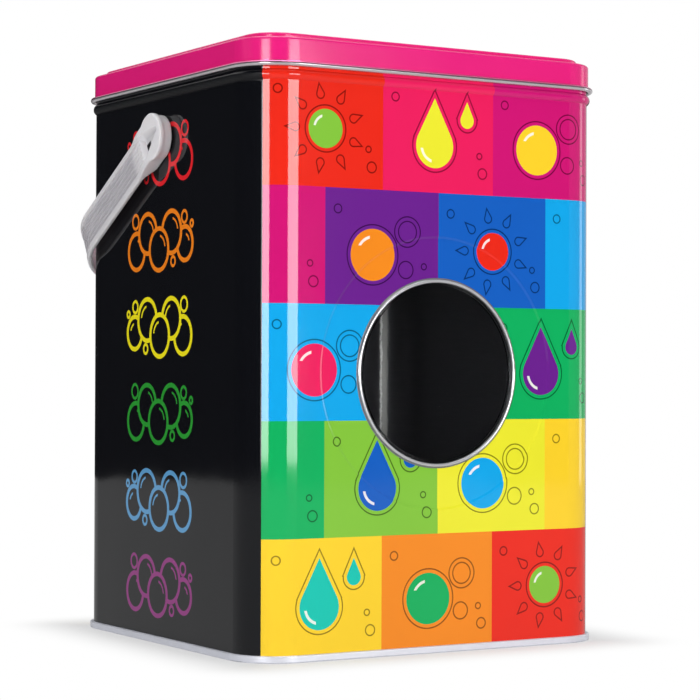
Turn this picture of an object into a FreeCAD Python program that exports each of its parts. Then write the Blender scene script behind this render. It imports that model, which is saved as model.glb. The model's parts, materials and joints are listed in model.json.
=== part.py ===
"""Laundry powder container: a square printed tin with rounded corners, a slip-on
lid, a round window in its front and a moulded bail handle on its sides.

Frame: millimetres, +Z up, origin at the middle of the footprint on the surface
that the bottom seam stands on. The window faces -Y, the handle pivots about X
and lies against the back wall, which faces +Y.
"""

import FreeCAD, Part
import math
import os
import Sketcher

SIZES = {
    # tin body, outside
    "body_width": 165.0,  # along X
    "body_depth": 160.0,  # along Y
    "body_height": 239.3,  # to the top of the curled rim
    "corner_radius": 18.0,
    "plate": 0.3,  # thickness of the tinplate everywhere
    "rim_curl": 2.0,  # diameter of the inward curl at the mouth
    # welded lap where the side wall's two ends meet, inside the back right corner
    "lap_angle": 68.5,  # round the corner's axis, from +X towards +Y
    "lap_width": 1.2,
    "lap_inset": 0.5,  # from the wall's outside to the lap's inner face
    "lap_end_gap": 0.5,  # from the base panel up to the lap
    # stop bead under the lid
    "bead_tall": 4.1,
    "bead_proud": 1.2,
    "bead_gap": 0.9,  # from the lid's curl down to the bead
    # double seam that joins the base to the body
    "seam_tall": 2.75,
    "seam_proud": 1.5,
    "seam_gap": 0.05,  # between the layers that lie against the body
    "seam_edge": 0.5,  # rounding of the seam's outer edges
    "body_hook_inset": 0.45,  # from the seam's outside to the body hook
    "body_hook_lift": 0.1,  # from the seam's floor up to the body hook
    "hook_short": 0.55,  # each hook ends this far short of the layer it faces
    "base_lift": 3.5,  # the base panel's top face above the standing surface
    # slip-on lid
    "lid_clearance": 0.3,  # between the lid's skirt and the body, and over the rim
    "lid_skirt": 11.5,  # from the lid's ledge down to the bottom of its curl
    "lid_curl": 2.1,  # diameter of the outward curl
    "lid_ledge": 5.1,  # width of the ledge round the raised panel
    "lid_raise": 2.2,  # the raised panel above the ledge
    "lid_shoulder": 1.1,  # bend radius where skirt and ledge meet
    "panel_edge": 0.9,  # bend radius of the raised panel's edge
    "panel_foot": 0.5,  # bend radius where the raised panel leaves the ledge
    # window in the front wall
    "window_height": 111.0,  # its axis above the standing surface
    "window_opening": 71.9,  # clear diameter inside the curled edge
    "window_curl": 1.55,  # diameter of the curled edge
    "window_curl_proud": 0.5,  # the curl's front beyond the wall
    "dish_diameter": 109.0,  # shallow pressing round the window
    "dish_deep": 0.4,
    "dish_slope": 0.85,  # radial width of the dish's rim
    # clear pane behind the window
    "pane_thick": 0.6,
    "pane_gap": 0.6,  # between the pane's raised middle and the curl
    "pane_inset": 0.35,  # the raised middle behind the curl's front
    "pane_step_gap": 0.12,  # between the pane and the back of the curl
    "pane_flange": 5.2,  # radial width of the flange bonded to the wall
    # moulded bail handle
    "pivot_drop": 32.2,  # its axis below the top of the body's rim
    "handle_tilt": 29.0,  # degrees below level towards the back, at rest
    "strap_width": 17.0,
    "strap_thick": 1.9,
    "strap_gap": 3.1,  # between the strap's inner face and the wall
    "apex_reach": 110.4,  # pivot axis to the middle of the strap at the crown
    "arch_corner": 32.0,  # middle radius of the two corners
    "arch_crown": 220.0,  # middle radius of the crown between them
    "strap_edge": 2.5,  # width of the smooth rim along each side
    "channel_start": 6.6,  # from the pivot axis to where the channel starts
    "channel_deep": 0.7,  # the ribbed channel below the rims
    "rib_tall": 0.4,
    "rib_width": 0.9,
    "rib_pitch": 2.1,
    "rib_count": 5,
    "strap_round": 0.6,  # rounding of the strap's long edges
    "flare": 1.5,  # the strap bends out by this to end on the boss
    "flare_start": 21.0,  # from the pivot axis to where that bend starts
    "flare_end": 8.0,  # and to where it ends
    "arm_tail": 3.0,  # the strap runs this far past the pivot axis, inside the boss
    "boss_radius": 9.2,
    "boss_lip": 0.6,  # the outer plate's end reaches this far past the boss
    "boss_plate": 1.9,  # thickness of that plate
    "boss_gap": 0.5,  # between the boss and the wall
    "boss_bevel": 0.5,
    "neck_start": 10.5,  # from the pivot axis to where the boss starts to thin
    "neck_end": 17.0,  # and to where it has thinned to the strap
    # recess in each boss: narrow past the pivot, as wide as the channel where it meets it
    "recess_tip": 6.9,  # its narrow end, past the pivot axis
    "recess_tip_width": 2.0,
    "recess_deep": 2.8,
    "recess_slope": 2.5,  # its walls lean in by this much down to its floor
    "recess_end": 10.2,  # from the pivot axis to where it has risen into the channel
    "recess_ramp": 1.8,  # length of the slope it rises by
    "core_hole_start": 4.6,  # hole beside the trunnion that the mould's core leaves
    "core_hole_long": 3.4,
    "core_hole_wide": 2.6,
    # hollow snap trunnion at each end of the handle
    "trunnion_radius": 2.5,
    "trunnion_bore": 1.5,
    "pivot_clearance": 0.1,  # radial, in the wall's hole
    "barb_radius": 3.5,
    "barb_gap": 0.4,  # between the wall's inner face and the barb
    "barb_long": 3.0,
    "slot_width": 0.9,
}

NODES = ("body_shell", "base_panel", "lid", "window_pane", "handle")

doc = FreeCAD.newDocument("laundry_powder_container")
sheet = doc.addObject("Spreadsheet::Sheet", "Sizes")


def fill_sheet():
    """One row a size: its name in column A, its plain number in column B."""
    for row, (name, value) in enumerate(SIZES.items(), start=1):
        sheet.set("A%d" % row, name)
        sheet.set("B%d" % row, "%s" % value)
        sheet.setAlias("B%d" % row, name)
    doc.recompute()


def cells(text):
    """The expression with every size's name turned into its cell."""
    words = "".join(c if c.isalnum() or c == "_" else " " for c in text).split()
    for word in sorted(set(words), key=len, reverse=True):
        if word in SIZES:
            text = replace_word(text, word, "Sizes." + word)
    return text


def replace_word(text, word, new):
    """text with word replaced where it stands alone."""
    parts = []
    position = 0
    while True:
        found = text.find(word, position)
        if found < 0:
            parts.append(text[position:])
            return "".join(parts)
        end = found + len(word)
        before = text[found - 1] if found else " "
        after = text[end] if end < len(text) else " "
        alone = not (before.isalnum() or before in "_.") and not (after.isalnum() or after == "_")
        parts.append(text[position:found] + (new if alone else word))
        position = end


def value_of(text):
    """The number that an expression of sizes gives."""
    return float(sheet.evalExpression(replace_sheet(cells(text))))


def replace_sheet(text):
    """The sheet reads its own cells without its name in front."""
    return text.replace("Sizes.", "")


def bind(thing, field, text):
    """Bind one property of an object to an expression of sizes."""
    thing.setExpression(field, cells(text))


# ---- sketches ---------------------------------------------------------------


def new_body(label):
    body = doc.addObject("PartDesign::Body", label)
    body.Label = label
    return body


def new_sketch(body, name, role, lift=None, shift=None):
    """A sketch on one of the body's own origin planes, lifted along its normal."""
    sketch = body.newObject("Sketcher::SketchObject", name)
    plane = [f for f in body.Origin.OriginFeatures if f.Role == role][0]
    sketch.AttachmentSupport = [(plane, "")]
    sketch.MapMode = "FlatFace"
    if lift is not None:
        bind(sketch, "AttachmentOffset.Base.z", lift)
    if shift is not None:
        bind(sketch, "AttachmentOffset.Base.y", shift)
    return sketch


def hold(sketch, kind, text, *where):
    """A dimension of a sketch, bound to an expression of sizes."""
    number = value_of(text)
    index = sketch.addConstraint(Sketcher.Constraint(kind, *where, number))
    bind(sketch, "Constraints[%d]" % index, text)


def hold_point(sketch, geometry, end, x_text, y_text):
    """Place one end of a line or arc from the sketch's origin."""
    for kind, text, axis in (("DistanceX", x_text, -2), ("DistanceY", y_text, -1)):
        if text == "0":
            sketch.addConstraint(Sketcher.Constraint("PointOnObject", geometry, end, axis))
        else:
            hold(sketch, kind, text, -1, 1, geometry, end)


def add_polygon(sketch, corners):
    """A closed polygon whose corners are pairs of expressions."""
    points = [FreeCAD.Vector(value_of(x), value_of(y), 0) for x, y in corners]
    first = sketch.GeometryCount
    count = len(points)
    for i in range(count):
        sketch.addGeometry(Part.LineSegment(points[i], points[(i + 1) % count]))
    for i in range(count):
        following = first + (i + 1) % count
        sketch.addConstraint(Sketcher.Constraint("Coincident", first + i, 2, following, 1))
    for i, (x_text, y_text) in enumerate(corners):
        hold_point(sketch, first + i, 1, x_text, y_text)


def add_rectangle(sketch, left, right, low, high):
    add_polygon(sketch, ((left, low), (right, low), (right, high), (left, high)))


def add_circle(sketch, x_text, y_text, radius_text):
    centre = FreeCAD.Vector(value_of(x_text), value_of(y_text), 0)
    up = FreeCAD.Vector(0, 0, 1)
    index = sketch.addGeometry(Part.Circle(centre, up, value_of(radius_text)))
    hold_point(sketch, index, 3, x_text, y_text)
    hold(sketch, "Radius", radius_text, index)


def add_tube(sketch, x_text, y_text, diameter_text):
    """The round section of a curl: plate rolled into a tube."""
    add_circle(sketch, x_text, y_text, "%s / 2" % diameter_text)
    add_circle(sketch, x_text, y_text, "%s / 2 - plate" % diameter_text)


def add_rounded_square(sketch, offset):
    """The tin's plan, grown by an offset from the body's outside."""
    half_x = value_of("body_width / 2 + (%s)" % offset)
    half_y = value_of("body_depth / 2 + (%s)" % offset)
    radius = value_of("corner_radius + (%s)" % offset)
    up = FreeCAD.Vector(0, 0, 1)
    first = sketch.GeometryCount
    turns = ((1, -1, -90), (1, 1, 0), (-1, 1, 90), (-1, -1, 180))
    ends = []
    for side_x, side_y, start in turns:
        centre = FreeCAD.Vector(side_x * (half_x - radius), side_y * (half_y - radius), 0)
        circle = Part.Circle(centre, up, radius)
        arc = Part.ArcOfCircle(circle, math.radians(start), math.radians(start + 90))
        sketch.addGeometry(arc)
        ends.append((arc.StartPoint, arc.EndPoint))
    for corner in range(4):
        sketch.addGeometry(Part.LineSegment(ends[corner][1], ends[(corner + 1) % 4][0]))
    for corner in range(4):
        line = first + 4 + corner
        following = first + (corner + 1) % 4
        sketch.addConstraint(Sketcher.Constraint("Tangent", first + corner, 2, line, 1))
        sketch.addConstraint(Sketcher.Constraint("Tangent", line, 2, following, 1))
        upright = "Vertical" if corner % 2 == 0 else "Horizontal"
        sketch.addConstraint(Sketcher.Constraint(upright, line))
        if corner:
            sketch.addConstraint(Sketcher.Constraint("Equal", first, first + corner))
    hold(sketch, "Radius", "corner_radius + (%s)" % offset, first)
    hold(sketch, "DistanceX", "body_width / 2 + (%s)" % offset, -1, 1, first + 4, 1)
    hold(sketch, "DistanceX", "-body_width / 2 - (%s)" % offset, -1, 1, first + 6, 1)
    hold(sketch, "DistanceY", "body_depth / 2 + (%s)" % offset, -1, 1, first + 5, 1)
    hold(sketch, "DistanceY", "-body_depth / 2 - (%s)" % offset, -1, 1, first + 7, 1)


# ---- features ---------------------------------------------------------------


def pad(body, name, sketch, length):
    feature = body.newObject("PartDesign::Pad", name)
    feature.Profile = sketch
    bind(feature, "Length", length)
    return feature


def ring(body, name, outer, inner, bottom, height):
    """An upright wall or a flat ring between two offsets of the tin's plan."""
    plan = new_sketch(body, name + "_plan", "XY_Plane", lift=bottom)
    add_rounded_square(plan, outer)
    add_rounded_square(plan, inner)
    return pad(body, name, plan, height)


def pad_both_ways(body, name, sketch, length):
    feature = pad(body, name, sketch, length)
    feature.Midplane = True
    return feature


def pocket_both_ways(body, name, sketch, length):
    feature = body.newObject("PartDesign::Pocket", name)
    feature.Profile = sketch
    bind(feature, "Length", length)
    feature.Midplane = True
    return feature


def pipe(body, name, sketch, path, kind="PartDesign::AdditivePipe"):
    """A section carried round a path."""
    feature = body.newObject(kind, name)
    feature.Profile = sketch
    feature.Spine = (path, [])
    return feature


def turned(body, name, sketch, kind="PartDesign::Revolution"):
    """A full turn about the sketch's own horizontal axis."""
    feature = body.newObject(kind, name)
    feature.Profile = sketch
    feature.ReferenceAxis = (sketch, ["H_Axis"])
    feature.Angle = 360.0
    return feature


def fillet(body, name, base, radius, choose):
    """Round the edges of base that choose accepts."""
    doc.recompute()
    edges = ["Edge%d" % i for i, e in enumerate(base.Shape.Edges, start=1) if choose(e)]
    feature = body.newObject("PartDesign::Fillet", name)
    feature.Base = (base, edges)
    bind(feature, "Radius", radius)
    return feature


def at_level(edge, level):
    """Whether an edge lies flat at a height."""
    box = edge.BoundBox
    return abs(box.ZMin - level) < 1e-4 and abs(box.ZMax - level) < 1e-4


def touches_outline(edge, offset):
    """Whether an edge lies on the tin's plan grown by an offset."""
    middle = edge.valueAt((edge.FirstParameter + edge.LastParameter) / 2)
    inner_x = value_of("body_width / 2 - corner_radius")
    inner_y = value_of("body_depth / 2 - corner_radius")
    past_x = max(abs(middle.x) - inner_x, 0)
    past_y = max(abs(middle.y) - inner_y, 0)
    outline = value_of("corner_radius") + offset
    return abs(math.hypot(past_x, past_y) - outline) < 1e-3


# Heights that several pieces share.
LID_LEDGE = "(body_height + lid_clearance + plate)"
LID_CURL_CENTRE = "(%s - lid_skirt + lid_curl / 2)" % LID_LEDGE
BEAD_CENTRE = "(%s - lid_skirt - bead_gap - bead_tall / 2)" % LID_LEDGE
BEAD_RADIUS = "((bead_tall * bead_tall / 4 + bead_proud * bead_proud) / (2 * bead_proud))"
BEAD_MIDDLE = "(body_width / 2 + bead_proud - %s)" % BEAD_RADIUS
BODY_FOOT = "(plate + body_hook_lift)"
BODY_HOOK = "(seam_proud - body_hook_inset)"

# Depths of the window, along Y from the middle of the tin, and its radii.
FRONT = "(-body_depth / 2)"
CURL_DEPTH = "(%s - window_curl_proud + window_curl / 2)" % FRONT
CURL_RADIUS = "(window_opening / 2 + window_curl / 2)"
DISH_INSIDE = "(%s + dish_deep + plate)" % FRONT

# The handle's axis, and its planes along X from the middle of the tin.
PIVOT_HEIGHT = "(body_height - pivot_drop)"
BOSS_INSIDE = "(body_width / 2 + boss_gap)"
STRAP_INSIDE = "(body_width / 2 + strap_gap)"
STRAP_MIDDLE = "(%s + strap_thick / 2)" % STRAP_INSIDE
STRAP_END = "(%s + flare)" % STRAP_MIDDLE
BOSS_OUTSIDE = "(%s + strap_thick / 2)" % STRAP_END
RECESS_FLOOR = "(%s - recess_deep)" % BOSS_OUTSIDE
FLARE_BEND = "(((flare_start - flare_end)^2 + flare^2) / (4 * flare))"
BARB_START = "(body_width / 2 - plate - barb_gap)"
BARB_END = "(%s - barb_long)" % BARB_START


def make_body_shell():
    """Side wall with its stop bead, curled mouth, window and pivot holes."""
    body = new_body("body_shell")
    path = new_sketch(body, "wall_path", "XY_Plane")
    add_rounded_square(path, "0")

    wall_height = "body_height - rim_curl / 2 - %s" % BODY_FOOT
    ring(body, "wall", "0", "-plate", BODY_FOOT, wall_height)
    ring(body, "hook_floor", BODY_HOOK, "-plate", BODY_FOOT, "plate")
    hook_height = "seam_tall - plate - hook_short - %s" % BODY_FOOT
    ring(body, "body_hook", BODY_HOOK, BODY_HOOK + " - plate", BODY_FOOT, hook_height)

    mouth = new_sketch(body, "mouth_curl_section", "XZ_Plane")
    add_tube(mouth, "body_width / 2 - rim_curl / 2", "body_height - rim_curl / 2", "rim_curl")
    pipe(body, "mouth_curl", mouth, path)

    bead = new_sketch(body, "bead_section", "XZ_Plane")
    add_bead_outline(bead)
    pipe(body, "bead", bead, path)
    hollow = new_sketch(body, "bead_hollow_section", "XZ_Plane")
    add_circle(hollow, BEAD_MIDDLE, BEAD_CENTRE, "%s - plate" % BEAD_RADIUS)
    pipe(body, "bead_hollow", hollow, path, "PartDesign::SubtractivePipe")

    make_side_lap(body)
    make_window_edge(body)

    holes = new_sketch(body, "pivot_hole_plan", "YZ_Plane")
    add_circle(holes, "0", PIVOT_HEIGHT, "trunnion_radius + pivot_clearance")
    body.Tip = pocket_both_ways(body, "pivot_holes", holes, "body_width * 2")
    return body


def make_side_lap(body):
    """The side wall is one strip bent round, its ends lapped and welded."""
    plan = new_sketch(body, "side_lap_plan", "XY_Plane", lift="base_lift + lap_end_gap")

    def corner(radius, across):
        x = "body_width / 2 - corner_radius + (%s) * cos(lap_angle) - (%s) * sin(lap_angle)"
        y = "body_depth / 2 - corner_radius + (%s) * sin(lap_angle) + (%s) * cos(lap_angle)"
        return x % (radius, across), y % (radius, across)

    middle = "corner_radius - plate / 2"
    inner = "corner_radius - lap_inset"
    half = "lap_width / 2"
    corners = (
        corner(middle, "-" + half),
        corner(inner, "-" + half),
        corner(inner, half),
        corner(middle, half),
    )
    add_polygon(plan, corners)
    pad(body, "side_lap", plan, "body_height - rim_curl / 2 - base_lift - lap_end_gap")


def add_bead_outline(sketch):
    """The bead's outside: an arc that bulges from the middle of the wall."""
    radius = value_of(BEAD_RADIUS)
    centre = FreeCAD.Vector(value_of(BEAD_MIDDLE), value_of(BEAD_CENTRE), 0)
    chord = "body_width / 2 - plate / 2"
    angle = math.acos((value_of(chord) - centre.x) / radius)
    circle = Part.Circle(centre, FreeCAD.Vector(0, 0, 1), radius)
    arc = Part.ArcOfCircle(circle, -angle, angle)
    bulge = sketch.addGeometry(arc)
    line = sketch.addGeometry(Part.LineSegment(arc.EndPoint, arc.StartPoint))
    sketch.addConstraint(Sketcher.Constraint("Coincident", bulge, 2, line, 1))
    sketch.addConstraint(Sketcher.Constraint("Coincident", line, 2, bulge, 1))
    sketch.addConstraint(Sketcher.Constraint("Vertical", line))
    hold(sketch, "DistanceX", chord, -1, 1, line, 1)
    hold_point(sketch, bulge, 3, BEAD_MIDDLE, BEAD_CENTRE)
    hold(sketch, "Radius", BEAD_RADIUS, bulge)


def make_window_edge(body):
    """Shallow dish pressed in the front wall, with a hole whose edge is curled."""
    inside = FRONT + " + plate / 2"
    backing = new_sketch(body, "dish_backing_section", "YZ_Plane", shift="window_height")
    add_polygon(
        backing,
        (
            (inside, "0"),
            (inside, "dish_diameter / 2"),
            (FRONT + " + plate", "dish_diameter / 2"),
            (DISH_INSIDE, "dish_diameter / 2 - dish_slope"),
            (DISH_INSIDE, "0"),
        ),
    )
    turned(body, "dish_backing", backing)

    ahead = FRONT + " - dish_slope"
    pressed = new_sketch(body, "dish_section", "YZ_Plane", shift="window_height")
    add_polygon(
        pressed,
        (
            (ahead, "0"),
            (ahead, "dish_diameter / 2"),
            (FRONT, "dish_diameter / 2"),
            (FRONT + " + dish_deep", "dish_diameter / 2 - dish_slope"),
            (FRONT + " + dish_deep", "0"),
        ),
    )
    turned(body, "dish", pressed, "PartDesign::Groove")

    hole = new_sketch(body, "window_hole_section", "YZ_Plane", shift="window_height")
    edge = CURL_RADIUS + " + window_curl / 2 - plate / 2"
    behind = DISH_INSIDE + " + plate"
    add_polygon(hole, ((ahead, "0"), (ahead, edge), (behind, edge), (behind, "0")))
    turned(body, "window_hole", hole, "PartDesign::Groove")

    curl = new_sketch(body, "window_curl_section", "YZ_Plane", shift="window_height")
    add_tube(curl, CURL_DEPTH, CURL_RADIUS, "window_curl")
    turned(body, "window_curl_ring", curl)


def make_base_panel():
    """The base: a flat panel, a wall down to the seam and the seam folded round."""
    body = new_body("base_panel")
    chuck_outside = "-plate - seam_gap"
    chuck_inside = "-plate * 2 - seam_gap"
    outside = "seam_proud"
    hook_start = BODY_FOOT + " + plate + hook_short"
    ring(body, "seam_floor", outside, chuck_inside, "0", "plate")
    ring(body, "seam_wall", outside, "seam_proud - plate", "0", "seam_tall")
    ring(body, "seam_roof", outside, "seam_gap", "seam_tall - plate", "plate")
    hook_length = "seam_tall - (%s)" % hook_start
    ring(body, "base_hook", "seam_gap + plate", "seam_gap", hook_start, hook_length)
    folded = ring(body, "chuck_wall", chuck_outside, chuck_inside, "0", "base_lift")

    def outer_edge(edge):
        low_or_high = at_level(edge, 0) or at_level(edge, value_of("seam_tall"))
        return low_or_high and touches_outline(edge, value_of(outside))

    fillet(body, "seam_edges", folded, "seam_edge", outer_edge)

    panel = new_sketch(body, "panel_plan", "XY_Plane", lift="base_lift - plate")
    add_rounded_square(panel, "-plate * 1.5 - seam_gap")
    body.Tip = pad(body, "panel", panel, "plate")
    return body


def make_lid():
    """Slip-on lid drawn from one sheet, with a raised panel and a curled edge."""
    body = new_body("lid")
    outside = "lid_clearance + plate"
    skirt = new_sketch(body, "skirt_plan", "XY_Plane", lift=LID_CURL_CENTRE)
    add_rounded_square(skirt, outside)
    pad(body, "skirt", skirt, "%s - %s" % (LID_LEDGE, LID_CURL_CENTRE))
    raised = new_sketch(body, "raised_plan", "XY_Plane", lift=LID_LEDGE)
    add_rounded_square(raised, "%s - lid_ledge" % outside)
    block = pad(body, "raised_panel", raised, "lid_raise")

    ledge = value_of(LID_LEDGE)
    top = ledge + value_of("lid_raise")
    panel_offset = value_of("%s - lid_ledge" % outside)

    shoulder = fillet(
        body,
        "shoulder",
        block,
        "lid_shoulder",
        lambda e: at_level(e, ledge) and touches_outline(e, value_of(outside)),
    )
    rim = fillet(body, "panel_rim", shoulder, "panel_edge", lambda e: at_level(e, top))
    foot = fillet(
        body,
        "panel_foot_bend",
        rim,
        "panel_foot",
        lambda e: at_level(e, ledge) and touches_outline(e, panel_offset),
    )

    doc.recompute()
    low = value_of(LID_CURL_CENTRE)
    faces = enumerate(foot.Shape.Faces, start=1)
    below = ["Face%d" % i for i, f in faces if abs(f.CenterOfMass.z - low) < 1e-4]
    sheet_metal = body.newObject("PartDesign::Thickness", "drawn_sheet")
    sheet_metal.Base = (foot, below)
    bind(sheet_metal, "Value", "plate")
    sheet_metal.Reversed = True

    path = new_sketch(body, "curl_path", "XY_Plane")
    add_rounded_square(path, "0")
    curl = new_sketch(body, "curl_section", "XZ_Plane")
    centre = "body_width / 2 + lid_clearance + lid_curl / 2"
    add_tube(curl, centre, LID_CURL_CENTRE, "lid_curl")
    body.Tip = pipe(body, "curl", curl, path)
    return body


def make_window_pane():
    """Clear moulded pane: a raised middle in the window and a flange behind it."""
    body = new_body("window_pane")
    section = new_sketch(body, "pane_section", "YZ_Plane", shift="window_height")
    front = FRONT + " - window_curl_proud + pane_inset"
    raised = "window_opening / 2 - pane_gap"
    behind_curl = CURL_DEPTH + " + window_curl / 2 + pane_step_gap"
    curl_outside = CURL_RADIUS + " + window_curl / 2"
    flange_start = curl_outside + " + pane_gap"
    flange_end = flange_start + " + pane_flange"
    add_polygon(
        section,
        (
            (front, "0"),
            (front, raised),
            (behind_curl, raised),
            (behind_curl, flange_start),
            (DISH_INSIDE, flange_start),
            (DISH_INSIDE, flange_end),
            (DISH_INSIDE + " + pane_thick", flange_end),
            (DISH_INSIDE + " + pane_thick", flange_start + " + pane_thick"),
            (behind_curl + " + pane_thick", flange_start + " + pane_thick"),
            (behind_curl + " + pane_thick", raised + " - pane_thick"),
            (front + " + pane_thick", raised + " - pane_thick"),
            (front + " + pane_thick", "0"),
        ),
    )
    body.Tip = turned(body, "pane", section)
    return body


def add_arch(sketch, offset, start):
    """The strap's middle line, or a line beside it, from a distance past the axis.

    It runs from the +X boss to the -X boss: arm, flare of two arcs, arm, corner,
    crown, corner and the same back again. Returns its first geometry's number.
    """
    beside = value_of(offset)
    end = value_of(STRAP_END)
    middle = value_of(STRAP_MIDDLE)
    near = value_of("flare_end")
    far = value_of("flare_start")
    tail = value_of(start)
    bend = value_of(FLARE_BEND)
    sweep = math.asin((far - near) / 2 / bend)
    corner = value_of("arch_corner")
    crown = value_of("arch_crown")
    crown_centre = value_of("apex_reach") - crown
    across = middle - corner
    along = crown_centre + math.sqrt((crown - corner) ** 2 - across**2)
    lean = math.atan2(along - crown_centre, across)

    def line(x, y_from, y_to):
        return Part.LineSegment(FreeCAD.Vector(x, y_from, 0), FreeCAD.Vector(x, y_to, 0))

    def arc(x, y, radius, start, stop):
        circle = Part.Circle(FreeCAD.Vector(x, y, 0), FreeCAD.Vector(0, 0, 1), radius)
        return Part.ArcOfCircle(circle, start, stop)

    pi = math.pi
    curves = (
        line(end + beside, tail, near),
        arc(end - bend, near, bend + beside, 0, sweep),
        arc(middle + bend, far, bend - beside, pi, pi + sweep),
        line(middle + beside, far, along),
        arc(across, along, corner + beside, 0, lean),
        arc(0, crown_centre, crown + beside, lean, pi - lean),
        arc(-across, along, corner + beside, pi - lean, pi),
        line(-middle - beside, along, far),
        arc(-middle - bend, far, bend - beside, -sweep, 0),
        arc(-end + bend, near, bend + beside, pi - sweep, pi),
        line(-end - beside, near, tail),
    )
    first = sketch.GeometryCount
    for curve in curves:
        sketch.addGeometry(curve)
    joins = ((0, 2, 1, 1), (1, 2, 2, 2), (2, 1, 3, 1), (3, 2, 4, 1), (4, 2, 5, 1))
    joins += ((5, 2, 6, 1), (6, 2, 7, 1), (7, 2, 8, 2), (8, 1, 9, 1), (9, 2, 10, 1))
    for one, one_end, other, other_end in joins:
        sketch.addConstraint(
            Sketcher.Constraint("Tangent", first + one, one_end, first + other, other_end)
        )
    for index in (0, 3, 7, 10):
        sketch.addConstraint(Sketcher.Constraint("Vertical", first + index))
    sketch.addConstraint(Sketcher.Constraint("Equal", first + 4, first + 6))
    sketch.addConstraint(Sketcher.Constraint("PointOnObject", first + 5, 3, -2))
    places = (
        ("DistanceX", STRAP_END + " + (BESIDE)", 0, 1),
        ("DistanceX", STRAP_MIDDLE + " + (BESIDE)", 3, 1),
        ("DistanceX", "-" + STRAP_MIDDLE + " - (BESIDE)", 7, 2),
        ("DistanceX", "-" + STRAP_END + " - (BESIDE)", 10, 2),
        ("DistanceY", start, 0, 1),
        ("DistanceY", start, 10, 2),
        ("DistanceY", "flare_end", 0, 2),
        ("DistanceY", "flare_end", 10, 1),
        ("DistanceY", "flare_start", 3, 1),
        ("DistanceY", "flare_start", 7, 2),
        ("DistanceY", "apex_reach - arch_crown", 5, 3),
    )
    for kind, text, index, point in places:
        hold(sketch, kind, text.replace("BESIDE", offset), -1, 1, first + index, point)
    radii = ((FLARE_BEND, 1), (FLARE_BEND, 9), ("arch_corner", 4), ("arch_crown", 5))
    for radius, index in radii:
        hold(sketch, "Radius", "%s + (%s)" % (radius, offset), first + index)
    return first


def add_band(sketch, inner, outer, start):
    """The closed outline between two lines beside the strap's middle line."""
    one = add_arch(sketch, inner, start)
    other = add_arch(sketch, outer, start)
    last = other - one - 1
    for index, point in ((0, 1), (last, 2)):
        ends = [sketch.getPoint(first + index, point) for first in (one, other)]
        cap = sketch.addGeometry(Part.LineSegment(*ends))
        sketch.addConstraint(Sketcher.Constraint("Coincident", cap, 1, one + index, point))
        sketch.addConstraint(Sketcher.Constraint("Coincident", cap, 2, other + index, point))


def make_handle():
    """Bail handle moulded in one piece: strap, two bosses and snap trunnions.

    It is drawn flat, with the pivot axis along X and the crown towards +Y, and
    its placement lifts it to the pivot and tilts the crown down.
    """
    body = new_body("handle")
    tilt = FreeCAD.Rotation(FreeCAD.Vector(-1, 0, 0), value_of("handle_tilt"))
    pivot = FreeCAD.Vector(0, 0, value_of(PIVOT_HEIGHT))
    body.Placement = FreeCAD.Placement(pivot, tilt)
    bind(body, "Placement.Base.z", PIVOT_HEIGHT)
    bind(body, "Placement.Rotation.Angle", "handle_tilt")

    strap_plan = new_sketch(body, "strap_plan", "XY_Plane")
    add_band(strap_plan, "-strap_thick / 2", "strap_thick / 2", "-arm_tail")
    strap = pad_both_ways(body, "strap", strap_plan, "strap_width")
    half = value_of("strap_width / 2")

    def long_edge(edge):
        low, high = edge.BoundBox.ZMin, edge.BoundBox.ZMax
        return high - low < 1e-4 and abs(abs(low) - half) < 1e-4

    fillet(body, "strap_edges", strap, "strap_round", long_edge)
    add_bosses(body)

    floor = "strap_thick / 2 - channel_deep"
    channel_plan = new_sketch(body, "channel_plan", "XY_Plane")
    add_band(channel_plan, floor, "strap_thick / 2 + channel_deep", "channel_start")
    pocket_both_ways(body, "channel", channel_plan, "strap_width - strap_edge * 2")

    lowest_rib = "-(rib_count - 1) / 2 * rib_pitch"
    rib_plan = new_sketch(body, "rib_plan", "XY_Plane", lift=lowest_rib)
    add_band(rib_plan, floor + " - rib_tall", floor + " + rib_tall", "channel_start - rib_tall")
    rib = pad_both_ways(body, "rib", rib_plan, "rib_width")
    ribs = body.newObject("PartDesign::LinearPattern", "ribs")
    ribs.Originals = [rib]
    ribs.Direction = (rib_plan, ["N_Axis"])
    bind(ribs, "Length", "(rib_count - 1) * rib_pitch")
    bind(ribs, "Occurrences", "rib_count")
    body.Tip = ribs
    add_recesses(body)
    return body


def mirror_end(body, name, features):
    """Repeat features of the +X end at the -X end."""
    mirrored = body.newObject("PartDesign::Mirrored", name)
    mirrored.Originals = features
    plane = [f for f in body.Origin.OriginFeatures if f.Role == "YZ_Plane"][0]
    mirrored.MirrorPlane = (plane, [""])
    body.Tip = mirrored


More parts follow.
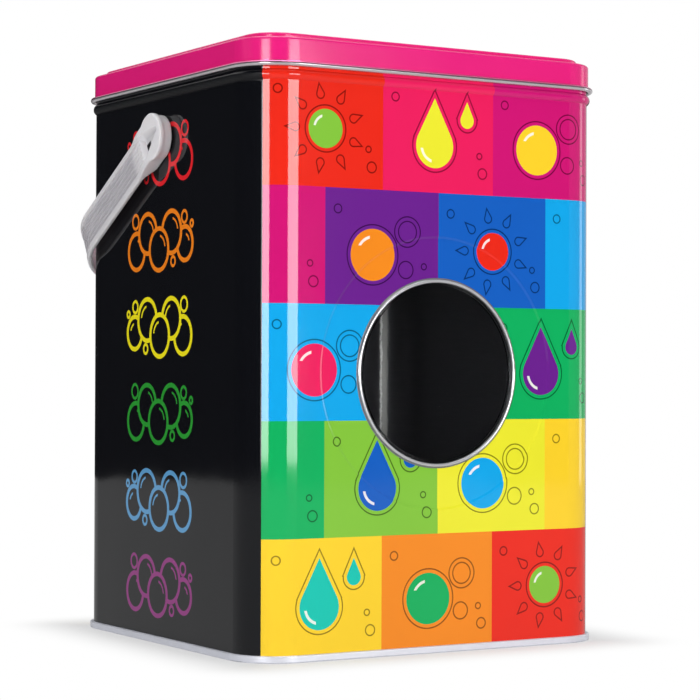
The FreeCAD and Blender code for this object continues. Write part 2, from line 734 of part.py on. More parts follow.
def add_bosses(body):
    """A boss, the neck that joins it to the strap and a trunnion at each end."""
    boss_section = new_sketch(body, "boss_section", "XY_Plane")
    plate_inside = BOSS_OUTSIDE + " - boss_plate"
    plate_radius = "boss_radius + boss_lip"
    add_polygon(
        boss_section,
        (
            (BOSS_INSIDE, "0"),
            (BOSS_INSIDE, "boss_radius - boss_bevel"),
            (BOSS_INSIDE + " + boss_bevel", "boss_radius"),
            (plate_inside, "boss_radius"),
            (plate_inside, plate_radius),
            (BOSS_OUTSIDE + " - boss_bevel", plate_radius),
            (BOSS_OUTSIDE, plate_radius + " - boss_bevel"),
            (BOSS_OUTSIDE, "0"),
        ),
    )
    boss = turned(body, "boss", boss_section)

    neck_plan = new_sketch(body, "neck_plan", "XY_Plane")
    add_polygon(
        neck_plan,
        (
            (BOSS_INSIDE, "0"),
            (STRAP_END, "0"),
            (STRAP_END, "flare_end"),
            (STRAP_MIDDLE, "flare_start"),
            (STRAP_INSIDE, "neck_end"),
            (BOSS_INSIDE, "neck_start"),
        ),
    )
    neck = pad_both_ways(body, "neck", neck_plan, "strap_width")

    trunnion_section = new_sketch(body, "trunnion_section", "XY_Plane")
    add_polygon(
        trunnion_section,
        (
            (BOSS_INSIDE + " + boss_gap", "0"),
            (BOSS_INSIDE + " + boss_gap", "trunnion_radius"),
            (BARB_START, "trunnion_radius"),
            (BARB_START, "barb_radius"),
            (BARB_END, "trunnion_radius"),
            (BARB_END, "0"),
        ),
    )
    trunnion = turned(body, "trunnion", trunnion_section)

    mirror_end(body, "other_boss", [boss, neck, trunnion])


def add_recesses(body):
    """Recess, core hole, bore and snap slot at each end."""
    wide = "strap_width / 2 - strap_edge"
    mouth = new_sketch(body, "recess_mouth", "YZ_Plane", lift=BOSS_OUTSIDE)
    add_recess_plan(mouth, "recess_tip", wide, "recess_end")
    low = new_sketch(body, "recess_floor", "YZ_Plane", lift=RECESS_FLOOR)
    inset = " - recess_slope"
    add_recess_plan(low, "recess_tip" + inset, wide + inset, "recess_end - recess_ramp")
    recess = body.newObject("PartDesign::SubtractiveLoft", "recess")
    recess.Profile = mouth
    recess.Sections = [low]
    recess.Ruled = True

    past_floor = RECESS_FLOOR + " + boss_gap"
    before_boss = BOSS_INSIDE + " - boss_gap / 2"
    core_plan = new_sketch(body, "core_hole_plan", "XY_Plane")
    add_rectangle(
        core_plan, before_boss, past_floor, "core_hole_start", "core_hole_start + core_hole_long"
    )
    core_hole = pocket_both_ways(body, "core_hole", core_plan, "core_hole_wide")

    inward = BARB_END + " - boss_gap"
    bore_section = new_sketch(body, "bore_section", "XY_Plane")
    add_rectangle(bore_section, inward, past_floor, "0", "trunnion_bore")
    bore = turned(body, "bore", bore_section, "PartDesign::Groove")

    slot_plan = new_sketch(body, "slot_plan", "XY_Plane")
    add_rectangle(slot_plan, inward, before_boss, "-slot_width / 2", "slot_width / 2")
    slot = pocket_both_ways(body, "snap_slot", slot_plan, "barb_radius * 3")
    mirror_end(body, "other_recess", [recess, core_hole, bore, slot])


def add_recess_plan(sketch, tip, half_width, end):
    """The recess's outline at one depth: narrow end, straight sides, wide end."""
    half_tip = "recess_tip_width / 2"
    corners = (
        ("-(%s)" % tip, "-" + half_tip),
        ("channel_start", "-(%s)" % half_width),
        (end, "-(%s)" % half_width),
        (end, half_width),
        ("channel_start", half_width),
        ("-(%s)" % tip, half_tip),
    )
    add_polygon(sketch, corners)


def check(bodies):
    """Stop if any feature failed or any piece isn't one valid solid."""
    failed = [o.Name for o in doc.Objects if {"Invalid", "Error"} & set(o.State)]
    if failed:
        raise RuntimeError("failed features: %s" % ", ".join(failed))
    for body in bodies:
        shape = body.Shape
        if shape.isNull() or not shape.isValid() or len(shape.Solids) != 1:
            raise RuntimeError("%s is not one valid solid" % body.Label)


fill_sheet()
make_body_shell()
make_base_panel()
make_lid()
make_window_pane()
make_handle()
doc.recompute()

bodies = [doc.getObject(name) for name in NODES]
check(bodies)
os.makedirs("parts", exist_ok=True)
for body in bodies:
    body.Shape.exportStep("parts/%s.step" % body.Label)
    box = body.Shape.BoundBox
    volume = body.Shape.Volume / 1000
    print("%-12s %6.2f cm3  x %.1f..%.1f  y %.1f..%.1f  z %.1f..%.1f" % (
        body.Label, volume, box.XMin, box.XMax, box.YMin, box.YMax, box.ZMin, box.ZMax))
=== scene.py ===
"""Looks of the laundry powder container: printed tin, pink lid, clear window and
white handle, on a pale floor in a small studio. Lengths in the patterns are
millimetres; everything placed in the scene is in metres. All pieces are the CAD
solids themselves, with their materials made here."""

import json
import math

import bpy
from mathutils import Matrix, Vector


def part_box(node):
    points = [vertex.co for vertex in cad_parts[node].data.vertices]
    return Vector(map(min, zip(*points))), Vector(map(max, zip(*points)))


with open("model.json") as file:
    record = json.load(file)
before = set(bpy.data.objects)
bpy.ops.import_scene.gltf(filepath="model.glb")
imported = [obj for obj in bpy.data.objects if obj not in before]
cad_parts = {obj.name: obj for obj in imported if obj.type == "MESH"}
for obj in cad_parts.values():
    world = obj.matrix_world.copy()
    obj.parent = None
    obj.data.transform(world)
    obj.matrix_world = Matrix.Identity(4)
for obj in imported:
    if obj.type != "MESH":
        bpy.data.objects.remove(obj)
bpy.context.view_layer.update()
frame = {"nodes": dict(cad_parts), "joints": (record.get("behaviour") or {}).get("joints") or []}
MM = 1000.0


# ---------------------------------------------------------------- measures

def in_mm(node):
    """The lowest and the highest corner of a CAD solid's box."""
    low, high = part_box(node)
    return low * MM, high * MM


def tin_heights():
    """The heights that the patterns are laid out by, taken from the CAD solids."""
    pane_low, pane_high = in_mm("window_pane")
    pivot = next(j for j in frame["joints"] if j["name"] == "handle_swing")["pos_m"]
    return {
        "rim": in_mm("body_shell")[1].z,
        "window": (pane_low.z + pane_high.z) / 2,
        "lid_low": in_mm("lid")[0].z,
        "pivot": pivot[2] * MM,
    }


TIN = tin_heights()
HALF_WIDTH = 82.5                     # of the body's outside, without its bead
HALF_DEPTH = 80.0
CORNER = 18.0
FLAT = HALF_WIDTH - CORNER            # from the middle of a face to where it turns
FLAT_DEEP = HALF_DEPTH - CORNER
PANEL_HALF = FLAT + CORNER * math.pi / 4    # the colours end half way round a corner


def linear(red, green, blue):
    """A colour written as it shows on a screen, 0 to 255, in the renderer's own scale."""
    def one(value):
        share = value / 255
        return share / 12.92 if share <= 0.04045 else ((share + 0.055) / 1.055) ** 2.4
    return (one(red), one(green), one(blue), 1.0)


def bright(colour, share):
    """A plain colour made darker or lighter."""
    return tuple(part * share for part in colour[:3]) + (1.0,)


# The rainbow that the print runs through, in order round the colour wheel.
RAINBOW = [
    linear(228, 42, 27),      # red
    linear(230, 32, 92),      # rose
    linear(202, 22, 112),     # magenta
    linear(104, 34, 138),     # purple
    linear(24, 92, 186),      # blue
    linear(20, 162, 226),     # sky
    linear(18, 192, 174),     # teal
    linear(18, 170, 92),      # green
    linear(128, 190, 60),     # lime
    linear(230, 226, 50),     # yellow
    linear(244, 204, 44),     # amber
    linear(238, 136, 32),     # orange
]
SIDE_INKS = [
    linear(146, 46, 126),     # purple
    linear(92, 156, 204),     # light blue
    linear(44, 150, 52),      # green
    linear(240, 226, 30),     # yellow
    linear(240, 130, 30),     # orange
    linear(222, 36, 44),      # red
]
BLACK = linear(13, 14, 18)
PINK = linear(226, 29, 121)


# ---------------------------------------------------------------- fields

class Field:
    """A value at each point of a surface, worked out by shader nodes."""

    def __init__(self, tree, socket):
        self.tree = tree
        self.socket = socket

    def math(self, kind, *others, clamp=False):
        node = self.tree.nodes.new("ShaderNodeMath")
        node.operation = kind
        node.use_clamp = clamp
        for place, value in enumerate((self, *others)):
            plug(self.tree, value, node.inputs[place])
        return Field(self.tree, node.outputs[0])

    def __add__(self, other):
        return self.math("ADD", other)

    def __sub__(self, other):
        return self.math("SUBTRACT", other)

    def __rsub__(self, number):
        return self * -1.0 + number

    def __mul__(self, other):
        return self.math("MULTIPLY", other)

    def __truediv__(self, other):
        return self.math("DIVIDE", other)

    def __abs__(self):
        return self.math("ABSOLUTE")

    def least(self, other):
        return self.math("MINIMUM", other)

    def most(self, other):
        return self.math("MAXIMUM", other)

    def floor(self):
        return self.math("FLOOR")

    def wrap(self, size):
        return self.math("FLOORED_MODULO", size)

    def over(self, level):
        """1 where the value is above the level, else 0."""
        return self.math("GREATER_THAN", level)

    def under(self, level):
        return self.math("LESS_THAN", level)


def plug(tree, value, socket):
    """Sets a socket to a plain value, or links a field to it."""
    if isinstance(value, Field):
        tree.links.new(value.socket, socket)
    else:
        socket.default_value = value


def length(across, up):
    return (across * across + up * up).math("SQRT")


def inside(distance, blur=0.12):
    """1 where a distance to an outline is negative, with a soft printed edge."""
    return (distance * (-1 / blur)).math("ADD", 0.5, clamp=True)


def stroke(distance, width):
    """1 on a line of that width along an outline."""
    return inside(abs(distance) - width / 2)


def circle(across, up, x, z, radius):
    """Distance to a circle's outline, below 0 inside it."""
    return length(across - x, up - z) - radius


def drop(across, up, x, z, radius, tall):
    """Distance to a water drop: a disc with two straight sides that meet above it."""
    sine = radius / tall
    cosine = math.sqrt(1 - sine * sine)
    side, height = abs(across - x), up - z
    cone = side * cosine + (height - tall) * sine
    cone = cone.most(side * sine - height * cosine)
    return circle(across, up, x, z, radius).least(cone)


def mix(share, first, second):
    """First where share is 0 and second where it is 1, for colours."""
    node = share.tree.nodes.new("ShaderNodeMix")
    node.data_type = "RGBA"
    plug(share.tree, share, node.inputs["Factor"])
    plug(share.tree, first, node.inputs[6])
    plug(share.tree, second, node.inputs[7])
    return Field(share.tree, node.outputs[2])


def blend(share, first, second):
    """The same for numbers."""
    return share * (second - first) + first


def tint(colour, share):
    """A field of colour made darker or lighter, by one share or one that varies."""
    node = colour.tree.nodes.new("ShaderNodeVectorMath")
    node.operation = "SCALE"
    plug(colour.tree, colour, node.inputs[0])
    plug(colour.tree, share, node.inputs["Scale"])
    return Field(colour.tree, node.outputs[0])


def ramp(value, low, high):
    """0 up to low, 1 from high on and even between them."""
    return ((value - low) / (high - low)).math("ADD", 0.0, clamp=True)


def band(value, low, full, ebb, high):
    """1 from full to ebb, 0 below low and above high and even between them."""
    return ramp(value, low, full) * (1.0 - ramp(value, ebb, high))


def pick(place, colours):
    """The colour whose number is place, counted from 0 and starting again at the end."""
    tree = place.tree
    node = tree.nodes.new("ShaderNodeValToRGB")
    node.color_ramp.interpolation = "CONSTANT"
    stops = node.color_ramp.elements
    for number, colour in enumerate(colours):
        stop = stops[number] if number < 2 else stops.new(number / len(colours))
        stop.position = number / len(colours)
        stop.color = colour
    share = (place.wrap(len(colours)) + 0.5) / len(colours)
    plug(tree, share, node.inputs[0])
    return Field(tree, node.outputs[0])


def noise(where, scale, detail, roughness=0.5, squeeze=(1, 1, 1)):
    """Noise between 0 and 1; scale is waves per millimetre, squeeze is how many more
    of them there are along x, y and z."""
    tree = where.tree
    sized = tree.nodes.new("ShaderNodeVectorMath")
    sized.operation = "MULTIPLY"
    plug(tree, where, sized.inputs[0])
    sized.inputs[1].default_value = squeeze
    node = tree.nodes.new("ShaderNodeTexNoise")
    tree.links.new(sized.outputs[0], node.inputs["Vector"])
    node.inputs["Scale"].default_value = scale
    node.inputs["Detail"].default_value = detail
    node.inputs["Roughness"].default_value = roughness
    return Field(tree, node.outputs[0])


def specks(where, spacing, size, share):
    """Small dots, one in each cell of that spacing, kept in a share of the cells."""
    tree = where.tree
    node = tree.nodes.new("ShaderNodeTexVoronoi")
    plug(tree, where, node.inputs["Vector"])
    node.inputs["Scale"].default_value = 1 / spacing
    near = Field(tree, node.outputs["Distance"]).under(size / spacing)
    split = tree.nodes.new("ShaderNodeSeparateColor")
    tree.links.new(node.outputs["Color"], split.inputs[0])
    return near * Field(tree, split.outputs[0]).under(share)


class Surface:
    """A new material: its shader, and where each point is, in millimetres."""

    def __init__(self, name):
        self.material = bpy.data.materials.new(name)
        self.material.use_nodes = True
        self.tree = self.material.node_tree
        self.shader = self.tree.nodes["Principled BSDF"]
        coords = self.tree.nodes.new("ShaderNodeTexCoord")
        sized = self.tree.nodes.new("ShaderNodeVectorMath")
        sized.operation = "SCALE"
        sized.inputs["Scale"].default_value = MM
        self.tree.links.new(coords.outputs["Object"], sized.inputs[0])
        self.place = Field(self.tree, sized.outputs[0])
        self.x, self.y, self.z = self.split(sized.outputs[0])
        self.facing = self.split(coords.outputs["Normal"])

    def split(self, socket):
        node = self.tree.nodes.new("ShaderNodeSeparateXYZ")
        self.tree.links.new(socket, node.inputs[0])
        return [Field(self.tree, out) for out in node.outputs]

    def set(self, **values):
        for name, value in values.items():
            socket = self.shader.inputs[name.replace("_", " ")]
            plug(self.tree, value, socket)

    def bump(self, height, depth):
        """Relief: height from 0 to 1 stands for depth in millimetres."""
        node = self.tree.nodes.new("ShaderNodeBump")
        node.inputs["Distance"].default_value = depth / MM
        plug(self.tree, height, node.inputs["Height"])
        self.tree.links.new(node.outputs[0], self.shader.inputs["Normal"])

    def outward(self):
        """Above 0 on faces that look away from the tin's middle line."""
        along_x = self.facing[0] * self.x
        along_y = self.facing[1] * self.y
        return along_x + along_y

    def give_to(self, *nodes):
        for name in nodes:
            data = frame["nodes"][name].data
            data.materials.clear()
            data.materials.append(self.material)


# ---------------------------------------------------------------- the print

ROW_TALL = 45.2
PRINT_TOP = 228.0
TILE_WIDE = PANEL_HALF * 2 / 3
OUTLINE = 0.55


def round_the_corner(surface):
    """Distance along the sheet from the middle of the front or back, so that the
    print keeps its width as it turns the corners."""
    across = (abs(surface.x) - FLAT).most(0.0)
    deep = (abs(surface.y) - FLAT_DEEP).most(0.0001)
    turned = across.math("ARCTAN2", deep)
    along = abs(surface.x).least(FLAT) + turned * CORNER
    return along * surface.x.math("SIGN")


def motif_drop(across, up):
    """A large drop with a small one beside it: fill, outline and gleam."""
    large = drop(across, up, -2.0, -4.0, 8.8, 19.0)
    small = drop(across, up, 13.5, 7.0, 3.2, 7.5)
    both = large.least(small)
    ring = circle(across, up, -2.0, -4.0, 6.2)
    gleam = stroke(ring, 1.1) * (across + 3.5).under(0.0) * (up + 5.0).under(0.0)
    return inside(both), stroke(both + -1.6, OUTLINE), gleam


def motif_bubbles(across, up):
    """Three soap bubbles, the largest filled."""
    large = circle(across, up, -4.5, -3.0, 10.2)
    middle = circle(across, up, 11.5, 6.5, 6.0)
    small = circle(across, up, 11.0, -8.5, 3.4)
    outline = stroke(large + -1.6, OUTLINE).most(stroke(middle, OUTLINE))
    outline = outline.most(stroke(small, OUTLINE)).most(stroke(middle + 1.8, OUTLINE))
    ring = circle(across, up, -4.5, -3.0, 7.0)
    gleam = stroke(ring, 1.1) * (across + 6.0).under(0.0) * (up - 0.5).over(0.0)
    return inside(large), outline, gleam


def motif_splash(across, up):
    """A disc with a ring of small drops thrown out round it."""
    disc = circle(across, up, 0.0, 0.0, 7.6)
    turn = up.math("ARCTAN2", across)
    step = math.tau / 9
    near = (turn + step * 9).wrap(step) - step / 2
    out = length(across, up)
    beside, along = out * near.math("SINE"), out * near.math("COSINE")
    thrown = drop(beside, along, 0.0, 13.4, 1.7, 4.2)
    ring = circle(across, up, 0.0, 0.0, 5.0)
    gleam = stroke(ring, 1.0) * (across + 1.5).under(0.0) * up.over(1.0)
    return inside(disc), stroke(disc + -1.5, OUTLINE).most(stroke(thrown, OUTLINE)), gleam


def patchwork(surface, along):
    """Staggered fields of colour, each with a drop, bubbles or a splash on it."""
    down = surface.z * -1.0 + PRINT_TOP
    row = (down / ROW_TALL).floor().most(0.0)
    odd = row.wrap(2.0)
    place = along / TILE_WIDE + odd * 0.5 + 0.5
    column = place.floor()
    across = (place - column - 0.5) * TILE_WIDE
    up = (row + 0.5) * ROW_TALL - down
    number = (row * 2.5).floor() + column + 1.0
    field = pick(number, RAINBOW)
    ink = pick(number + 8.0, RAINBOW)
    middle = (column - odd * 0.5) * TILE_WIDE
    whole = abs(middle).under(PANEL_HALF - TILE_WIDE / 3)
    kind = (row + column).wrap(3.0)
    drawn = []
    for wanted, motif in enumerate((motif_drop, motif_bubbles, motif_splash)):
        chosen = abs(kind - wanted).under(0.5) * whole
        drawn.append([part * chosen for part in motif(across, up)])
    fill, line, gleam = [one.most(two).most(three) for one, two, three in zip(*drawn)]
    rising = circle(across, up, 21.0, -14.0, 2.1).least(circle(across, up, 19.5, -7.0, 1.2))
    rising = rising.least(circle(across, up, -20.5, 14.5, 1.7))
    line = line.most(stroke(rising, OUTLINE))
    colour = mix(fill, field, ink)
    colour = mix(line, colour, tint(field, 0.3))
    return mix(gleam * 0.75, colour, linear(255, 250, 244))


FOAM_PITCH = 35.5
FOAM_LOW = 5.2
FOAM_MIDDLE = 3.3
FOAM_ROWS = 6
FOAM_STROKE = 1.9
LOOSE_STROKE = 1.2
GLEAM_STROKE = 0.9
GLEAM_INSET = 3.0
FOAM = [                      # across, up and radius of each, the nearest last
    (-23.0, -2.0, 6.8),
    (21.5, -3.5, 7.6),
    (-11.0, 3.2, 8.6),
    (11.0, 3.5, 8.2),
    (0.5, -3.4, 8.6),
]
LOOSE_BUBBLES = [(-22.5, 8.8, 2.4), (-29.0, 5.8, 1.3), (22.5, 9.0, 2.9), (-12.5, -8.8, 1.9)]


def foam(surface):
    """Clusters of outlined bubbles stacked up the black sides, one colour each."""
    raised = surface.z - FOAM_LOW
    row = (raised / FOAM_PITCH).floor()
    up = raised - (row + 0.5) * FOAM_PITCH
    mirror = row.wrap(2.0) * -2.0 + 1.0
    along = (surface.y - FOAM_MIDDLE) * mirror
    drawn = None
    for x, z, radius in FOAM:
        edge = circle(along, up, x, z, radius)
        arc = stroke(circle(along, up, x, z, radius - GLEAM_INSET), GLEAM_STROKE)
        arc = arc * (along - (x - 1.0)).under(0.0) * (up - (z + 1.0)).over(0.0)
        bubble = stroke(edge, FOAM_STROKE).most(arc)
        drawn = bubble if drawn is None else (drawn * (1.0 - inside(edge))).most(bubble)
    for x, z, radius in LOOSE_BUBBLES:
        drawn = drawn.most(stroke(circle(along, up, x, z, radius), LOOSE_STROKE))
    rows = row.over(-0.5) * row.under(FOAM_ROWS - 0.5)
    return drawn * rows, pick(row, SIDE_INKS)


# ---------------------------------------------------------------- materials

HEM_TALL = 1.2               # bare metal at the foot of the body
MOUTH_TALL = 3.5             # and at its mouth, under the lid
BEAD = (222.6, 223.4, 225.2, 226.2)    # where the bead starts, is full, ebbs and ends
WELD_LAP = (17.7, 21.5)      # along the corner, from where the right face ends
WELD_EDGE = 20.9
RING_OUTSIDE = 37.9          # bare metal round the window's axis
RING_MIDDLE = 36.7
RING_HALF = 0.45             # of its undarkened middle, with painted shade along the crease on each side
FRONT_OF = -70.0             # the ring lies in front of this
CURL_TALL = 2.35             # bare metal at the foot of the lid
# height up the curl of a line of painted shade
CURL_SHADE_LINE = 1.25
CURL_TINTED = (1.2, 1.5)     # from here up the curl is tinted by thin ink
STRAP_TILT = math.radians(29.0)        # below level, at rest
RIB_PITCH = 2.1
CHANNEL_HALF = 5.9
CHANNEL_START = 21.0         # from the pivot
RECESS_RADIUS = 8.0          # in the boss
RECESS_DEEP = (86.3, 88.8)   # how far out its floor and its mouth are
HOLE_MIDDLE = 6.3            # along the strap from the pivot
HOLE_HALF_LONG = 1.9
HOLE_HALF_WIDE = 1.45
HOLE_OUT = 86.4              # its edge, on the recess's floor


def drawn_lines(surface):
    """Fine level lines left on bare tinplate by rolling and forming."""
    return noise(surface.place, 0.6, 3.0, 0.6, (0.15, 0.15, 2.5))


def weld(surface):
    """Inside the tin: the lapped strip of the side weld, and its jagged bright edge."""
    deep = surface.y - FLAT_DEEP
    turn = deep.math("ARCTAN2", surface.x - FLAT)
    along = turn * CORNER * surface.x.over(FLAT) * deep.over(0.0)
    jag = (noise(surface.place, 0.35, 3.0, 0.7) - 0.5) * 1.6
    start, end = WELD_LAP
    lap = inside(abs(along - (start + end) / 2) - (end - start) / 2, 0.6)
    scorch = inside(abs(along + jag - WELD_EDGE) - 0.45, 0.3)
    return lap, scorch


def dusty(surface, ink, spacing, share, dust):
    """The ink with specks of that colour of dust here and there."""
    return mix(specks(surface.place, spacing, 0.16, 0.10) * share, ink, dust)


def printed_tin():
    """The body: gloss print outside, bare metal at the hem, mouth and window, and
    grey lacquer inside with the weld's strip."""
    surface = Surface("printed_tinplate")
    along = round_the_corner(surface)
    front = abs(along).under(PANEL_HALF)
    foam_drawn, foam_ink = foam(surface)
    side = mix(foam_drawn, BLACK, foam_ink)
    ink = mix(front, side, patchwork(surface, along))
    ink = tint(ink, noise(surface.place, 0.02, 3.0) * 0.10 + 0.95)
    ink = dusty(surface, ink, 9.0, 0.35, linear(190, 190, 195))
    window = length(surface.x, surface.z - TIN["window"])
    ring = window.under(RING_OUTSIDE) * surface.y.under(FRONT_OF)
    mouth = surface.z.over(TIN["rim"] - MOUTH_TALL)
    hem = surface.z.under(HEM_TALL)
    inner = surface.outward().under(0.0)
    bare = ring.most(mouth).most(hem).most(inner)
    lines = drawn_lines(surface)
    tin = mix(lines, linear(204, 204, 208), linear(222, 222, 226))
    # painted shade: the ring's bare metal darkened in a line on each side of its middle band
    ring_crease_shade = (1.0 - inside(abs(window - RING_MIDDLE) - RING_HALF, 0.3)) * ring
    tin = tint(tin, 1.0 - ring_crease_shade * 0.55)
    lined = inner * (1.0 - ring)
    lap, scorch = weld(surface)
    lacquer = mix(lines, linear(114, 114, 118), linear(134, 134, 138))
    lacquer = mix(lap, lacquer, linear(172, 170, 166))
    lacquer = mix(scorch, lacquer, linear(252, 250, 246))
    tin = mix(lined, tin, lacquer)
    smear = noise(surface.place, 0.045, 4.0, 0.6)
    dull = band(surface.z, *BEAD) * (1.0 - front) * 0.6
    on_print = smear * 0.05 + 0.035 + dull
    on_metal = lines * 0.08 + 0.10 + lined * 0.22
    surface.set(
        Base_Color=mix(bare, ink, tin),
        Metallic=bare - ring * 0.45 - lined * (1.0 - lap) * 0.5,
        Roughness=blend(bare, on_print, on_metal),
        Specular_IOR_Level=0.4,
        IOR=1.5,
    )
    wave = noise(surface.place, 0.018, 1.0) + noise(surface.place, 0.9, 1.0) * 0.006
    surface.bump(wave * (1.0 - bare), 0.35)
    surface.give_to("body_shell")


def bare_tin():
    """The base with its seam: dull, lightly lined tinplate."""
    surface = Surface("bare_tinplate")
    lines = drawn_lines(surface)
    spots = noise(surface.place, 0.25, 4.0, 0.65)
    colour = mix(lines, linear(212, 214, 224), linear(228, 230, 240))
    surface.set(
        Base_Color=tint(colour, spots * 0.10 + 0.93),
        Metallic=0.2,
        Roughness=lines * 0.10 + 0.30,
        IOR=1.8,
    )
    surface.bump(lines, 0.01)
    surface.give_to("base_panel")


def pink_tin():
    """The lid: pink gloss on top, bare metal inside and on its curled edge, where
    the ink thins out over the upper half, with a painted shade line along the curl."""
    surface = Surface("pink_tinplate")
    outer = (surface.outward() / HALF_DEPTH + surface.facing[2]).over(0.0)
    raised = surface.z - TIN["lid_low"]
    bare = (1.0 - outer).most(raised.under(CURL_TALL))
    ink = mix(noise(surface.place, 0.025, 3.0), bright(PINK, 0.95), bright(PINK, 1.05))
    ink = dusty(surface, ink, 8.0, 0.4, linear(255, 205, 228))
    lines = drawn_lines(surface)
    tin = mix(lines, linear(206, 200, 204), linear(228, 222, 226))
    tin = mix(ramp(raised, *CURL_TINTED), tin, linear(226, 120, 168))
    # painted shade: a dark line along the middle of the curl
    tin = tint(tin, 1.0 - inside(abs(raised - CURL_SHADE_LINE) - 0.22, 0.2) * 0.7)
    smear = noise(surface.place, 0.05, 4.0, 0.6)
    surface.set(
        Base_Color=mix(bare, ink, tin),
        Metallic=bare * 0.7,
        Roughness=blend(bare, smear * 0.06 + 0.13, lines * 0.08 + 0.14),
        IOR=1.5,
    )
    wave = noise(surface.place, 0.02, 1.0) + noise(surface.place, 0.8, 1.0) * 0.008
    surface.bump(wave * (1.0 - bare), 0.1)
    surface.give_to("lid")


def white_plastic():
    """Translucent white plastic, greyer away from the bosses, where the wall is thin.
    The channel is greyer too, for its thin wall and as painted shade, with painted
    shade between its ribs, in each recess and, darkest, in the opening beside each trunnion."""
    surface = Surface("white_plastic")
    rise = surface.z - TIN["pivot"]
    sine, cosine = math.sin(STRAP_TILT), math.cos(STRAP_TILT)
    across = surface.y * sine + rise * cosine
    along = surface.y * cosine - rise * sine
    far = length(surface.y, rise)
    channel = inside(abs(across) - CHANNEL_HALF, 0.6) * inside(CHANNEL_START - far, 3.0)
    hole_shade = inside(abs(along - HOLE_MIDDLE) - HOLE_HALF_LONG, 0.4)
    hole_shade = hole_shade * inside(abs(across) - HOLE_HALF_WIDE, 0.3)
    hole_shade = hole_shade * inside(abs(surface.x) - HOLE_OUT, 0.3)
    flow = noise(surface.place, 0.05, 4.0, 0.55)
    fine = noise(surface.place, 1.4, 2.0)
    groove_shade = abs((across / RIB_PITCH).wrap(1.0) - 0.5) * 2.0
    groove_shade = groove_shade.math("SMOOTH_MIN", 1.0, 0.2)
    thin = ramp(far, 9.0, 24.0)
    colour = mix(thin, linear(230, 228, 231), linear(214, 212, 215))
    # the channel is greyer for its thin wall and as painted shade, and painted shade darkens it
    # further in stripes between the ribs
    colour = mix(channel, colour, mix(groove_shade, linear(198, 196, 201), linear(178, 175, 181)))
    # painted shade in the recess of each boss, strongest on its floor
    recess_shade = inside(far - RECESS_RADIUS, 1.0) * (1.0 - ramp(abs(surface.x), *RECESS_DEEP))
    colour = tint(colour, 1.0 - recess_shade * 0.22)
    # painted shade: dark grey on the white plastic inside the opening beside each trunnion
    colour = mix(hole_shade, colour, linear(60, 58, 62))
    surface.set(
        Base_Color=tint(colour, flow * 0.07 + 0.955),
        Roughness=flow * 0.10 + 0.26 + fine * 0.05,
        IOR=1.49,
        Subsurface_Weight=0.8,
        Subsurface_Scale=0.003,
        Subsurface_Radius=(1.0, 0.95, 0.9),
    )
    surface.bump(flow, 0.05)
    surface.give_to("handle")


def clear_plastic():
    """The window's pane: clear, with a faint haze and a few scratches."""
    surface = Surface("clear_plastic")
    haze = noise(surface.place, 0.05, 4.0, 0.6)
    scratch = specks(surface.place, 5.0, 0.14, 0.25)
    surface.set(
        Base_Color=mix(scratch, linear(250, 252, 253), linear(214, 216, 219)),
        Roughness=haze * 0.03 + scratch * 0.3 + 0.01,
        IOR=1.49,
        Transmission_Weight=1.0,
    )
    surface.bump(haze, 0.05)
    surface.give_to("window_pane")


for make in (printed_tin, bare_tin, pink_tin, white_plastic, clear_plastic):
    make()


# ---------------------------------------------------------------- the studio

FILL = 0.15                  # how bright the world is as a light
WHITE_AT_TIN = 0.42          # share of plain white in the floor against the tin
WHITE_OVER = 48.0            # mm in which that share grows by 1
GLOSS_FLOOR = 0.45           # the floor's brightness in reflections
NEAR_CORNER = (-0.07, -0.07, 0.225)    # the aim of both softboxes


def seen_by(tree, *kinds):
    """1 for rays of those kinds, else 0."""
    path = tree.nodes.new("ShaderNodeLightPath")
    seen = Field(tree, path.outputs[kinds[0]])
    for kind in kinds[1:]:
        seen = seen.most(Field(tree, path.outputs[kind]))
    return seen


def make_world():
    """White behind everything, and a soft fill light."""
    world = bpy.data.worlds.new("studio")
    world.use_nodes = True
    bpy.context.scene.world = world
    tree = world.node_tree
    seen = seen_by(tree, "Is Camera Ray", "Is Glossy Ray", "Is Transmission Ray")
    plug(tree, blend(seen, FILL, 1.0), tree.nodes["Background"].inputs["Strength"])
    tree.nodes["Background"].inputs["Color"].default_value = (1, 1, 1, 1)


def blend_to_white(surface, share, in_gloss):
    """The surface's shader, giving way where share is 1 to plain white, or to a
    greyer white where it is seen in gloss."""
    tree = surface.tree
    glow = tree.nodes.new("ShaderNodeEmission")
    direct = seen_by(tree, "Is Camera Ray", "Is Transmission Ray")
    gloss = seen_by(tree, "Is Glossy Ray")
    plug(tree, blend(direct, in_gloss, 1.0), glow.inputs["Strength"])
    both = tree.nodes.new("ShaderNodeMixShader")
    plug(tree, share * direct.most(gloss), both.inputs[0])
    tree.links.new(surface.shader.outputs[0], both.inputs[1])
    tree.links.new(glow.outputs[0], both.inputs[2])
    tree.links.new(both.outputs[0], tree.nodes["Material Output"].inputs["Surface"])


def make_floor():
    """A pale floor that turns plain white a little way from the tin, with only a
    narrow soft shadow left beside it."""
    size = 3.0
    mesh = bpy.data.meshes.new("floor")
    corners = [(-size, -size, 0), (size, -size, 0), (size, size, 0), (-size, size, 0)]
    mesh.from_pydata(corners, [], [(0, 1, 2, 3)])
    floor = bpy.data.objects.new("floor", mesh)
    bpy.context.scene.collection.objects.link(floor)
    surface = Surface("floor_paint")
    grain = noise(surface.place, 0.02, 3.0)
    paint = mix(grain, linear(206, 206, 207), linear(214, 214, 215))
    surface.set(Base_Color=paint, Roughness=0.6)
    beside = (abs(surface.x) - HALF_WIDTH).most(0.0)
    before = (abs(surface.y) - HALF_DEPTH).most(0.0)
    away = length(beside, before) / WHITE_OVER + WHITE_AT_TIN
    blend_to_white(surface, away.math("SMOOTH_MIN", 1.0, 0.3), GLOSS_FLOOR)
    mesh.materials.append(surface.material)


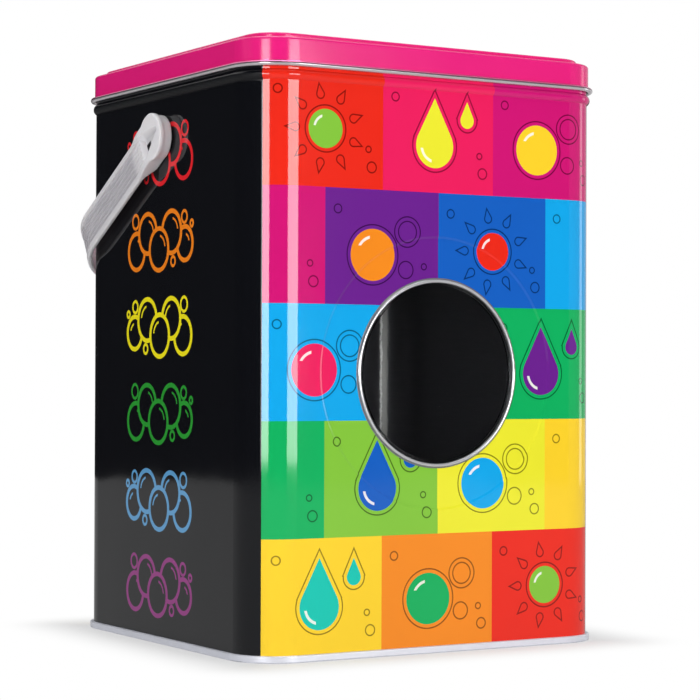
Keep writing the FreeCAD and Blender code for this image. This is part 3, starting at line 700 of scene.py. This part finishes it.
def curtain_glow(surface):
    """How brightly the curtain shines. It is dark but for pale paper on the right
    with a bright strip low in it, a bright zone high up behind, and in front a screen
    that lights the tin's inside through the window and is seen nowhere else."""
    turn = surface.x.math("ARCTAN2", surface.y * -1.0) * (180 / math.pi)   # 0 in front
    paper = ramp(turn, 38.0, 42.0) * 0.3 + ramp(turn, 60.0, 115.0) * 0.3
    paper = paper * (1.0 - ramp(turn, 140.0, 160.0))
    strip = band(turn, 74.0, 77.0, 86.0, 89.0) * (1.0 - ramp(surface.z, 420.0, 470.0))
    behind = ramp(abs(turn), 110.0, 125.0) * ramp(surface.z, 800.0, 950.0)
    screen = band(turn, -60.0, -50.0, 0.0, 10.0)
    through_glass = seen_by(surface.tree, "Is Transmission Ray")
    return (paper + strip * 2.2).most(behind * 0.9) + screen * through_glass * 1.6


def make_curtain():
    """A curtain all round, seen only in reflections and through glass."""
    radius, tall, steps = 1.5, 2.6, 48
    mesh = bpy.data.meshes.new("curtain")
    points, faces = [], []
    for step in range(steps):
        turn = math.tau * step / steps
        for height in (-0.001, tall):
            points.append((radius * math.cos(turn), radius * math.sin(turn), height))
        a, b = 2 * step, 2 * ((step + 1) % steps)
        faces.append((a, b, b + 1, a + 1))
    mesh.from_pydata(points, [], faces)
    curtain = bpy.data.objects.new("curtain", mesh)
    bpy.context.scene.collection.objects.link(curtain)
    surface = Surface("curtain_cloth")
    folds = noise(surface.place, 0.01, 2.0)
    surface.set(
        Base_Color=mix(folds, linear(24, 24, 27), linear(34, 34, 38)),
        Roughness=0.9,
        Emission_Color=(1.0, 1.0, 1.0, 1.0),
        Emission_Strength=curtain_glow(surface),
    )
    mesh.materials.append(surface.material)
    curtain.visible_camera = False
    curtain.visible_diffuse = False
    curtain.visible_volume_scatter = False
    curtain.visible_shadow = False


def softbox(name, place, size, power, aim):
    """A rectangular lamp, facing the aim and hidden from the camera."""
    data = bpy.data.lights.new(name, "AREA")
    data.shape = "RECTANGLE"
    data.size, data.size_y = size
    data.energy = power
    lamp = bpy.data.objects.new(name, data)
    bpy.context.scene.collection.objects.link(lamp)
    lamp.location = place
    lamp.rotation_euler = (Vector(aim) - Vector(place)).to_track_quat("-Z", "Y").to_euler()
    lamp.visible_camera = False
    return lamp


def make_lights():
    """A softbox on each side of the near corner, one above, and three weak bounces
    that light the sides but are seen in no reflection."""
    softbox("softbox_left", (-1.004, -0.755, 0.225), (0.397, 0.39), 5.8, NEAR_CORNER)
    softbox("softbox_right", (0.245, -1.18, 0.225), (0.54, 0.39), 7.0, NEAR_CORNER)
    softbox("softbox_top", (0.0, 0.0, 1.45), (1.2, 1.2), 12.0, (0.0, 0.0, 0.0))
    for name, place, power in (
        ("bounce_left", (-1.3, 0.25, 0.3), 3.0),
        ("bounce_back", (0.35, 1.35, 0.45), 5.0),
        ("bounce_right", (1.35, 0.1, 0.45), 3.0),
    ):
        bounce = softbox(name, place, (0.6, 0.6), power, (0.0, 0.0, 0.12))
        bounce.visible_glossy = False


def make_camera():
    """The photo's camera, fitted to the tin's straight edges and the window."""
    data = bpy.data.cameras.new("camera")
    data.lens = 114.8
    data.sensor_width = 36.0
    camera = bpy.data.objects.new("camera", data)
    bpy.context.scene.collection.objects.link(camera)
    turn = Matrix.Rotation(math.radians(-31.106), 4, "Z")
    tilt = Matrix.Rotation(math.radians(90.638), 4, "X")
    roll = Matrix.Rotation(math.radians(0.216), 4, "Z")
    place = Matrix.Translation((-0.4893, -0.8229, 0.1102))
    camera.matrix_world = place @ turn @ tilt @ roll
    bpy.context.scene.camera = camera


make_world()
make_floor()
make_curtain()
make_lights()
make_camera()
bpy.context.scene.view_settings.view_transform = "Standard"
